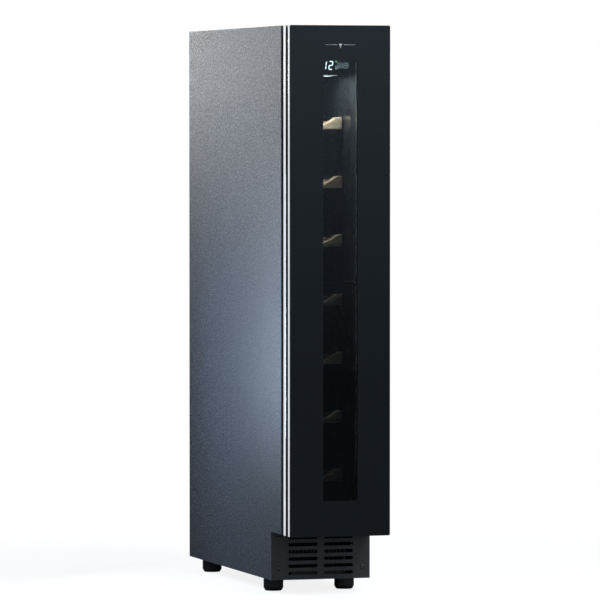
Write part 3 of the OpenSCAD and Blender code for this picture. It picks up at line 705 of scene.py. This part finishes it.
def along_mouth(edge):
    """Inner corners of the collar that run from front to back."""
    first, second = edge.verts
    runs_back = abs(first.co.y - second.co.y) > 40 * MM
    return runs_back and all(abs(abs(v.co.x) - MOUTH_HALF) < 1e-4 for v in edge.verts)


eased("inner_liner", 0.4 * MM, [(LINER_FILLET, 5, inside_mouth)])
eased("throat_collar", 0.5 * MM, [(LINER_FILLET, 5, along_mouth)], True, COLLAR_BLACK)

# How far the edges of the plainer parts are eased, in millimetres
EASED = {
    "top_panel": 0.25, "rear_panel": 0.2, "compressor_cover": 0.2, "base_pan": 0.25,
    "machine_room_ceiling": 0.25, "kick_grille": 0.6, "control_housing": 0.5,
    "display_lens": 0.25, "lamp_diffuser": 0.5, "evaporator_cover": 0.5,
    "condenser_fan_frame": 0.4, "starter_box": 1.0,
    "power_inlet": 0.5, "drip_tray": 0.6, "upper_hinge_bracket": 0.35,
    "lower_hinge_bracket": 0.35, "display_ledge": 0.6, "shelf_guides": 0.3,
    "glass_spacer": 0.4, "inner_glass": 0.4, "front_trim": 0.35, "door_core": 0.5,
    "rear_trim": 0.35, "door_inner_frame": 0.6,
}
for node_name, width in EASED.items():
    eased(node_name, width * MM)

# ---------------------------------------------------------------- door glass

WINDOW_HALF = 25.5 * MM
WINDOW_LOW = SPACER_LOW.z + 8 * MM
WINDOW_HIGH = SPACER_HIGH.z - 8 * MM
GLASS_CORNER = 2 * MM
WINDOW_CORNER = 1.5 * MM
GROUND_EDGE = 0.5 * MM


def make_door_glass():
    """Outer pane: ground edges, a printed border and a tinted window in one sheet."""
    bm = bmesh.new()
    front, back = GLASS_LOW.y, GLASS_HIGH.y
    half = GLASS_HIGH.x

    def border(inset, y):
        return rounded_loop(half - inset, GLASS_LOW.z + inset, GLASS_HIGH.z - inset,
                            GLASS_CORNER, y)

    def window(y):
        return rounded_loop(WINDOW_HALF, WINDOW_LOW, WINDOW_HIGH, WINDOW_CORNER, y)

    arris = 0.3 * GROUND_EDGE
    rings = loft(bm, [
        window(front), border(GROUND_EDGE, front), border(arris, front + arris),
        border(0, front + GROUND_EDGE), border(0, back - GROUND_EDGE),
        border(arris, back - arris), border(GROUND_EDGE, back), window(back),
    ])
    for face in bm.faces:
        if any(front + 1e-6 < v.co.y < back - 1e-6 for v in face.verts):
            face.material_index = 2
    for ring in (rings[0], rings[-1]):
        pane = bm.faces.new(ring)
        pane.material_index = 1
    add("outer_glass_pane", bm, "door", "dark_glass",
        [MATERIALS["dark_glass"], WINDOW_GLASS, GROUND_GLASS], ["outer_glass"])


make_door_glass()

MARK_Z = 783.5 * MM
PRINT_THICKNESS = 0.02 * MM
# The stem and foot of the glass, in millimetres from the middle of the mark
STEM = [(0.25, -1.8), (0.25, -3.9), (1.7, -4.3), (-1.7, -4.3), (-0.25, -3.9), (-0.25, -1.8)]


def make_glass_mark():
    """A plain wine glass between two fine lines, printed in silver above the window."""
    def bowl(degrees):
        a = math.radians(degrees)
        return 2.3 * math.cos(a) * (1 + 0.16 * math.sin(a)), 1.3 + 3.1 * math.sin(a)

    bm = bmesh.new()
    front, back = GLASS_LOW.y - PRINT_THICKNESS, GLASS_LOW.y + PRINT_THICKNESS
    right_side = [bowl(degrees) for degrees in range(0, -91, -15)]
    left_side = [bowl(degrees) for degrees in range(-105, -181, -15)]
    outline = right_side + STEM + left_side
    prism(bm, [(a * MM, MARK_Z + b * MM) for a, b in outline], front, back, 1)
    for sx in (-1, 1):
        near, far = sx * 5 * MM, sx * 22 * MM
        prism(bm, [(near, MARK_Z - 0.3 * MM), (far, MARK_Z - 0.12 * MM),
                   (far, MARK_Z + 0.12 * MM), (near, MARK_Z + 0.3 * MM)], front, back, 1)
    add("glass_mark", bm, "door", "dark_glass", SILVER_PRINT)


make_glass_mark()

# ---------------------------------------------------------------- gasket

GASKET_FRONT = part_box("door_inner_frame")[1].y


def make_gasket():
    """Magnetic seal: arrow foot, bellows with a folded wall, and the magnet sleeve."""
    low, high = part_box("door_gasket")
    half = high.x
    depth = high.y - GASKET_FRONT
    # Inset from the outer edge in millimetres, and height over the frame as a share of the depth
    outline = [
        (8.0, -0.36), (10.0, -0.36), (10.3, -0.2), (9.6, -0.02), (16.4, 0.0), (16.9, 0.06),
        (16.6, 0.14), (13.6, 0.2), (12.6, 0.3), (13.6, 0.42), (14.3, 0.52), (14.4, 0.7),
        (14.0, 0.9), (13.0, 0.98), (8.0, 1.0), (2.4, 0.98), (0.9, 0.9), (0.4, 0.7),
        (0.6, 0.54), (2.4, 0.46), (4.4, 0.38), (5.0, 0.28), (4.0, 0.2), (1.6, 0.14),
        (1.0, 0.06), (1.6, 0.0), (8.4, -0.02), (7.8, -0.2),
    ]
    bm = bmesh.new()
    loops = []
    for inset, share in outline:
        edge = inset * MM
        y = GASKET_FRONT + share * depth
        loops.append([
            Vector((sx * (half - edge), y, (high.z - edge) if sz > 0 else (low.z + edge)))
            for sx, sz in ((1, 1), (-1, 1), (-1, -1), (1, -1))
        ])
    loft(bm, loops, closed=True)
    add("door_gasket_bellows", bm, "door", "gasket_rubber", replaces=["door_gasket"])


make_gasket()

# ---------------------------------------------------------------- grip groove

GROOVE_LINER_T = 0.35 * MM
GROOVE_DEPTH = 7 * MM
POCKET_CLEAR = 6.5 * MM


def make_groove_liners():
    """Black channel in the finger groove, between the two bright trims."""
    front_low, front_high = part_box("front_trim")
    rear_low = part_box("rear_trim")[0]
    front, back = front_high.y, rear_low.y
    lip = front_high.x - 0.02 * MM
    # Half of the body's width behind the front trim
    root = GLASS_HIGH.x - GROOVE_DEPTH
    t = GROOVE_LINER_T
    outline = [
        (lip, front), (lip, front + t), (root + 3 * t, front + t), (root + t, front + 3 * t),
        (root + t, back - 3 * t), (root + 3 * t, back - t), (lip, back - t), (lip, back),
        (root, back), (root, front),
    ]
    spans = {-1: (front_low.z, front_high.z),
             1: (GLASS_LOW.z + POCKET_CLEAR, GLASS_HIGH.z - POCKET_CLEAR)}
    for side, (low, high) in spans.items():
        bm = bmesh.new()
        prism(bm, [(side * x, y) for x, y in outline], low, high, 2)
        add("groove_liner_left" if side < 0 else "groove_liner_right", bm, "door",
            "door_plastic")


make_groove_liners()

# ---------------------------------------------------------------- shelves

BOARD_ROUND = 1.4 * MM
SLAT_ROUND = 0.9 * MM
for number in SHELVES:
    eased("shelf_front_%d" % number, BOARD_ROUND)
    eased("shelf_deck_%d" % number, SLAT_ROUND)

# ---------------------------------------------------------------- screws

HEAD_RINGS = 9
SCREW_SIDES = 36
THREAD_PITCH = 0.8 * MM
# Shares of the head's radius: the cross recess, half the width of its arms, and the shank
RECESS_R = 0.6
RECESS_HALF = 0.13
CORE_R = 0.36
# Shares of the head's height: how deep the recess is, and how far the dome falls to the rim
RECESS_DEPTH = 0.62
DOME_FALL = 0.55
# How far a thread stands out, as a share of the shank
THREAD_R = 1.16


def make_screws():
    """Pan-head screws with a cross recess, one for each screw of the CAD group."""
    bm = bmesh.new()
    for solid in islands("case_screws"):
        x, _, z = solid_middle(solid)
        radius = max(p.x for p in solid) - x
        wide = [p.y for p in solid if math.hypot(p.x - x, p.z - z) > 0.9 * radius]
        seat, top = min(wide), max(wide)
        ends = [p.y for p in solid]
        tip = min(ends) if max(ends) <= top + WELD else max(ends)
        if tip > seat:
            seat, top = top, seat
        screw(bm, Vector((x, seat, z)), top - seat, tip - seat, radius)
    add("case_screws_finished", bm, "cabinet", "screw_steel", replaces=["case_screws"])


def screw(bm, seat, head, shank, radius):
    """head and shank are signed lengths along Y from the seat."""
    recess_r, recess_half = RECESS_R * radius, RECESS_HALF * radius
    recess_depth = RECESS_DEPTH * abs(head)
    core = CORE_R * radius
    loops = []
    for k in range(1, HEAD_RINGS + 1):
        share = k / HEAD_RINGS
        r = radius * share
        dome = head * (1 - DOME_FALL * share ** 4)
        loop = []
        for i in range(SCREW_SIDES):
            angle = math.tau * i / SCREW_SIDES
            a, b = r * math.cos(angle), r * math.sin(angle)
            off_cross = min(abs(a), abs(b)) / recess_half
            cut = max(0.0, 1 - r / recess_r) ** 0.5 * max(0.0, min(1.0, 1.7 - off_cross))
            loop.append(seat + Vector((a, dome - math.copysign(cut * recess_depth, head), b)))
        loops.append(loop)
    turns = int(abs(shank) / THREAD_PITCH * 2)
    profile = [(radius, 0.0), (core, 0.0)]
    profile += [(core * (1.0 if k % 2 else THREAD_R), shank * k / turns) for k in range(1, turns)]
    profile += [(0.35 * core, shank)]
    for r, along in profile:
        loops.append([seat + Vector((r * math.cos(math.tau * i / SCREW_SIDES), along,
                                     r * math.sin(math.tau * i / SCREW_SIDES)))
                      for i in range(SCREW_SIDES)])
    rings = loft(bm, loops)
    bm.faces.new(rings[0])
    bm.faces.new(rings[-1][::-1])


make_screws()

# ---------------------------------------------------------------- feet

FOOT_RIBS = 24
FOOT_SIDES = 144
PAD_R = 14.3 * MM
PAD_H = 19.2 * MM
STUD_R = 3.98 * MM
STUD_PITCH = 1.25 * MM
STUD_STEP = 0.3 * MM
STUD_SIDES = 28
RIB_DEPTH = 0.75 * MM
STUD_THREAD = 0.55 * MM


def make_foot(node):
    """Levelling foot: a ribbed pad on a threaded stud."""
    low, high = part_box(node)
    centre = Vector(((low.x + high.x) / 2, (low.y + high.y) / 2, 0))
    bm = bmesh.new()
    # Shares of the pad's radius and height
    profile = [
        (0.55, 0), (0.80, 0), (0.84, 0.02), (0.93, 0.14), (0.955, 0.18), (1.0, 0.22),
        (1.0, 0.86), (0.97, 0.9), (0.93, 0.97), (0.9, 1.0), (0.34, 1.0),
    ]

    def ribbed(radius, height, angle):
        if radius < 0.99 * PAD_R:
            return radius
        return radius - RIB_DEPTH * (0.5 - 0.5 * math.cos(FOOT_RIBS * angle)) ** 2

    lathe(bm, [(r * PAD_R, h * PAD_H) for r, h in profile], centre, FOOT_SIDES, ribbed)

    def threaded(radius, height, angle):
        phase = (height / STUD_PITCH - angle / math.tau) % 1.0
        return radius - STUD_THREAD * abs(2 * phase - 1)

    steps = int((high.z - PAD_H) / STUD_STEP)
    stud = [(STUD_R, PAD_H - MM + k * STUD_STEP) for k in range(steps + 2)]
    stud += [(STUD_R - 0.6 * MM, high.z - 0.2 * MM), (STUD_R - 1.2 * MM, high.z)]
    lathe(bm, stud, centre, STUD_SIDES, threaded)
    add(node + "_finished", bm, NODES[node]["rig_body"], "foot_plastic", replaces=[node])


for node_name in NODES:
    if node_name.startswith("foot_"):
        make_foot(node_name)

# ---------------------------------------------------------------- fans

BLADES = 7
BLADE_STEPS = 9
HUB_R = 12 * MM
HUB_SIDES = 48


def make_rotor(node):
    """Fan wheel: a domed hub and swept, twisted blades."""
    low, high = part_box(node)
    x, y, z = (low + high) / 2
    centre = Vector((x, y, z))
    tip = (high.z - low.z) / 2
    hub = HUB_R
    front, back = low.y, high.y
    bm = bmesh.new()
    dome = [(hub * math.sin(a), front + 3 * MM * (1 - math.cos(a)))
            for a in (math.pi / 2 * k / 8 for k in range(1, 9))]
    profile = dome + [(hub, back - MM), (hub - 1.2 * MM, back), (hub - 2 * MM, back - MM),
                      (hub - 2 * MM, front + 5 * MM), (MM, front + 5 * MM)]
    # The hub is turned about Z first, then laid along Y
    lathe(bm, [(r, along - y) for r, along in profile], centre, HUB_SIDES)
    lay_along_y(bm.verts, centre)
    for blade in range(BLADES):
        sides = []
        for face in (-0.5, 0.5):
            grid = []
            for i in range(BLADE_STEPS):
                u = i / (BLADE_STEPS - 1)
                r = hub - 0.8 * MM + u * (tip - hub + 0.6 * MM)
                row = []
                for j in range(BLADE_STEPS):
                    v = 2 * j / (BLADE_STEPS - 1) - 1
                    angle = math.tau * blade / BLADES + 0.24 * u * u + v * (0.36 - 0.04 * u)
                    pitch = (5.2 - 1.6 * u) * MM
                    skin = 1.1 * MM * (1 - 0.75 * v * v) * (1 - 0.35 * u)
                    along = v * pitch + 0.8 * MM * (1 - v * v) + face * skin
                    row.append(bm.verts.new((x + r * math.cos(angle), y + along,
                                             z + r * math.sin(angle))))
                grid.append(row)
            sides.append(grid)
        last = BLADE_STEPS - 1
        for grid in sides:
            for i in range(last):
                for j in range(last):
                    bm.faces.new((grid[i][j], grid[i + 1][j], grid[i + 1][j + 1], grid[i][j + 1]))
        rim = ([(i, 0) for i in range(last)] + [(last, j) for j in range(last)]
               + [(i, last) for i in range(last, 0, -1)] + [(0, j) for j in range(last, 0, -1)])
        for (i, j), (k, m) in zip(rim, rim[1:] + rim[:1]):
            bm.faces.new((sides[0][i][j], sides[0][k][m], sides[1][k][m], sides[1][i][j]))
    add(node + "_finished", bm, NODES[node]["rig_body"], "fan_plastic", replaces=[node])


for node_name in ("circulation_fan_rotor", "condenser_fan_rotor"):
    make_rotor(node_name)

# ---------------------------------------------------------------- back

BEAD_LEVELS = 5
BEAD_HALF = 52 * MM
BEAD_WIDTH = 9 * MM
BEAD_RISE = 1.1 * MM
LOUVRE_ROWS = 9
LOUVRE_FIRST = 72 * MM
LOUVRE_PITCH = 9 * MM
LOUVRE_X = 30 * MM
LOUVRE_HALF = 22.5 * MM
LOUVRE_HEIGHT = 3.1 * MM
LOUVRE_RISE = 1.5 * MM
# How far the foot of a dome is sunk in its sheet
HOOD_SINK = 0.1 * MM


def hood(bm, x, z, y, half, height, rise, low_edge=-1.0):
    """A pressed dome on a rear sheet; low_edge cuts it off flat below."""
    steps, arcs = 20, 8
    start = math.asin(low_edge)
    loops = []
    for i in range(steps + 1):
        share = math.sin(math.pi / 2 * (2 * i / steps - 1))
        thin = math.sqrt(max(0.0, 1 - share ** 4)) * 0.98 + 0.02
        loop = []
        for k in range(arcs + 1):
            angle = start + (math.pi / 2 - start) * k / arcs
            loop.append((x + share * half, y + rise * thin * math.cos(angle),
                         z + height * thin * math.sin(angle)))
        loops.append(loop + [(x + share * half, y - HOOD_SINK, z + height * thin),
                             (x + share * half, y - HOOD_SINK, z + height * low_edge * thin)])
    rings = loft(bm, loops)
    bm.faces.new(rings[0])
    bm.faces.new(rings[-1][::-1])


def make_back():
    """Pressed beads across the rear panel, and louvres on the compressor cover."""
    low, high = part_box("rear_panel")
    bm = bmesh.new()
    for k in range(BEAD_LEVELS):
        z = low.z + (high.z - low.z) * (k + 0.5) / BEAD_LEVELS
        hood(bm, 0, z, high.y, BEAD_HALF, BEAD_WIDTH / 2, BEAD_RISE)
    add("rear_panel_beads", bm, "cabinet", "back_paint")
    bm = bmesh.new()
    for row in range(LOUVRE_ROWS):
        for x in (-LOUVRE_X, LOUVRE_X):
            hood(bm, x, LOUVRE_FIRST + row * LOUVRE_PITCH, high.y, LOUVRE_HALF,
                 LOUVRE_HEIGHT, LOUVRE_RISE, 0.0)
    add("compressor_cover_louvres", bm, "cabinet", "back_paint")


make_back()

# ---------------------------------------------------------------- display

DISPLAY_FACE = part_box("display_lens")[0].y
MARK_THICKNESS = 0.06 * MM
# A mark stands in front of the display's face, with its back just inside
MARK_FRONT_Y = DISPLAY_FACE - MARK_THICKNESS
MARK_BACK_Y = DISPLAY_FACE + 0.2 * MARK_THICKNESS
SEGMENT_W = 1.25 * MM
DIGIT_W = 6.4 * MM
DIGIT_H = 12.6 * MM
DIGIT_SLANT = 0.08
DIGIT_BASE = 749.3 * MM
ICON_Z = 755.5 * MM
ICON_RING_R = 4.0 * MM
ICON_RING_W = 0.45 * MM
# The rings from left to right: a power mark, a lamp mark, and up and down arrows
POWER_X = -38.6 * MM
LAMP_X = -30.3 * MM
UP_X = 30.3 * MM
DOWN_X = 38.6 * MM
DOT_X = 24.7 * MM
DOT_Z = 761 * MM
DOT_R = 0.75 * MM
DOT_SIDES = 20
# Which of the seven bars each digit lights, from the top bar clockwise, the middle one last
BARS = {"1": (1, 2), "2": (0, 1, 6, 4, 3)}


def plate(bm, outline):
    """A lit mark with the outline (x, z) on the face of the display."""
    prism(bm, outline, MARK_FRONT_Y, MARK_BACK_Y, 1)


def rectangle(left, low, right, high):
    return [(left, low), (right, low), (right, high), (left, high)]


def ring_plate(bm, x, z, outer, inner, start=0.0, sweep=math.tau, count=40):
    """A flat ring, or an arc of one when sweep is less than a full turn."""
    front, back = MARK_FRONT_Y, MARK_BACK_Y
    corners = ((outer, front), (outer, back), (inner, back), (inner, front))
    whole = sweep == math.tau
    loops = []
    for i in range(count if whole else count + 1):
        angle = start + sweep * i / count
        loops.append([(x + r * math.cos(angle), depth, z + r * math.sin(angle))
                      for r, depth in corners])
    rings = loft(bm, loops, closed=whole)
    if not whole:
        bm.faces.new(rings[0])
        bm.faces.new(rings[-1][::-1])


def bar(bm, x, z, length, upright, slant_from):
    """One bar of a seven-segment digit, centred on x, z."""
    long, short = length / 2 - 0.12 * MM, SEGMENT_W / 2
    outline = [(-long, 0), (-long + short, short), (long - short, short), (long, 0),
               (long - short, -short), (-long + short, -short)]
    if upright:
        outline = [(b, a) for a, b in outline][::-1]
    plate(bm, [
        (x + a + DIGIT_SLANT * (z + b - slant_from), z + b) for a, b in outline
    ])


def digit(bm, value, x, z):
    """A digit whose lower left corner is at x, z."""
    w, h = DIGIT_W - SEGMENT_W, DIGIT_H - SEGMENT_W
    left, low = x + SEGMENT_W / 2, z + SEGMENT_W / 2
    bars = (
        (left + w / 2, low + h, w, False), (left + w, low + 3 * h / 4, h / 2, True),
        (left + w, low + h / 4, h / 2, True), (left + w / 2, low, w, False),
        (left, low + h / 4, h / 2, True), (left, low + 3 * h / 4, h / 2, True),
        (left + w / 2, low + h / 2, w, False),
    )
    for index in BARS[value]:
        bx, bz, length, upright = bars[index]
        bar(bm, bx, bz, length, upright, z)


def make_display():
    """The lit read-out, its touch icons and the green dot."""
    bm = bmesh.new()
    digit(bm, "1", 3.2 * MM, DIGIT_BASE)
    digit(bm, "2", 13.0 * MM, DIGIT_BASE)
    add("display_digits", bm, "cabinet", "display_plastic", DIGIT_GLOW)

    bm = bmesh.new()
    for x in (LAMP_X, POWER_X, UP_X, DOWN_X):
        ring_plate(bm, x, ICON_Z, ICON_RING_R, ICON_RING_R - ICON_RING_W)
    ring_plate(bm, POWER_X, ICON_Z, 1.9 * MM, 1.5 * MM, math.radians(125), math.radians(290), 24)
    plate(bm, rectangle(POWER_X - 0.2 * MM, ICON_Z + 0.4 * MM,
                        POWER_X + 0.2 * MM, ICON_Z + 2.3 * MM))
    ring_plate(bm, LAMP_X, ICON_Z + 0.4 * MM, 1.6 * MM, 1.25 * MM, count=24)
    plate(bm, rectangle(LAMP_X - 0.7 * MM, ICON_Z - 2.0 * MM,
                        LAMP_X + 0.7 * MM, ICON_Z - 1.5 * MM))
    for x, way in ((UP_X, 1), (DOWN_X, -1)):
        tip = ICON_Z + way * 1.5 * MM
        foot = ICON_Z - way * 1.0 * MM
        plate(bm, [(x, tip), (x - 1.9 * MM, foot), (x - 1.2 * MM, foot - way * 0.2 * MM),
                   (x, tip - way * 1.0 * MM), (x + 1.2 * MM, foot - way * 0.2 * MM),
                   (x + 1.9 * MM, foot)][::way])
    # Scale marks beside the digits
    for x in (23.6 * MM, 25.4 * MM):
        plate(bm, rectangle(x, 750 * MM, x + 0.7 * MM, 754.6 * MM))
    add("display_icons", bm, "cabinet", "display_plastic", ICON_GLOW)

    bm = bmesh.new()
    turns = [math.tau * i / DOT_SIDES for i in range(DOT_SIDES)]
    plate(bm, [(DOT_X + DOT_R * math.cos(turn), DOT_Z + DOT_R * math.sin(turn)) for turn in turns])
    add("display_dot", bm, "cabinet", "display_plastic", GREEN_GLOW)


make_display()

# Light of the lamp, just under its diffuser
LAMP_LOW, LAMP_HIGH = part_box("lamp_diffuser")
lamp_middle = (LAMP_LOW + LAMP_HIGH) / 2
lamp_light = area_light("compartment_light", (lamp_middle.x, lamp_middle.y, LAMP_LOW.z - 0.5 * MM),
                        (lamp_middle.x, lamp_middle.y, 0), 56 * MM, 24 * MM, 1.6, COOL_WHITE)
lamp_light.parent = frame["bodies"]["cabinet"]
